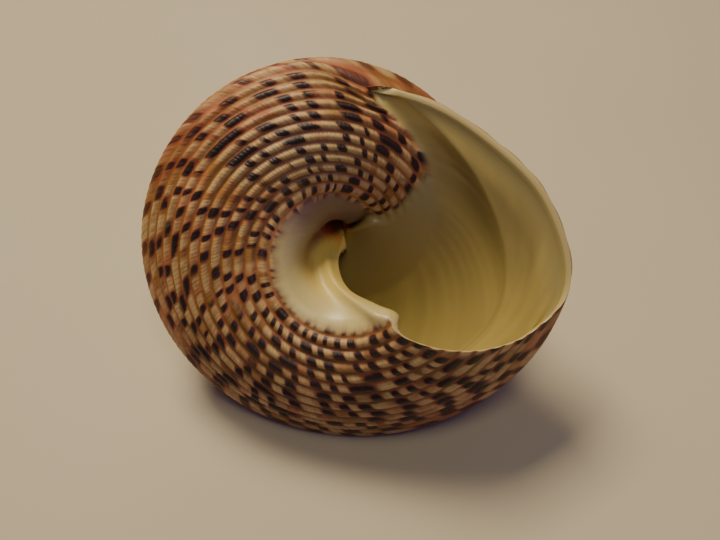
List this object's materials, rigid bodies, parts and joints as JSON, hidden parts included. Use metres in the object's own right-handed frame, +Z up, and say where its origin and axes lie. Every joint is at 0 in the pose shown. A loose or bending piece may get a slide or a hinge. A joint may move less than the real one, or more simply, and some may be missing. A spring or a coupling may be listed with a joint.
{
  "type": "trochus top shell",
  "caption": "Conical sea-snail shell with spiral beaded cords, a rounded base, a wide oblique mouth and a twisted pillar, lying on its flank.",
  "frame": {"origin": "middle of the shell's bounding box, on the plane of the flat spot it rests on", "axes": "+Z up from the flat spot; the mouth and base face -Y and up, the tip points +Y and down; +X runs from the shell's left to the outer lip"},
  "size_m": [0.0672, 0.0632, 0.0462],
  "materials": {
    "shell": "satin mottled shell, white rim round the hollow of the base, pearly yellow lining"
  },
  "bodies": {
    "root": {"shell": "shell"}
  },
  "joints": []
}
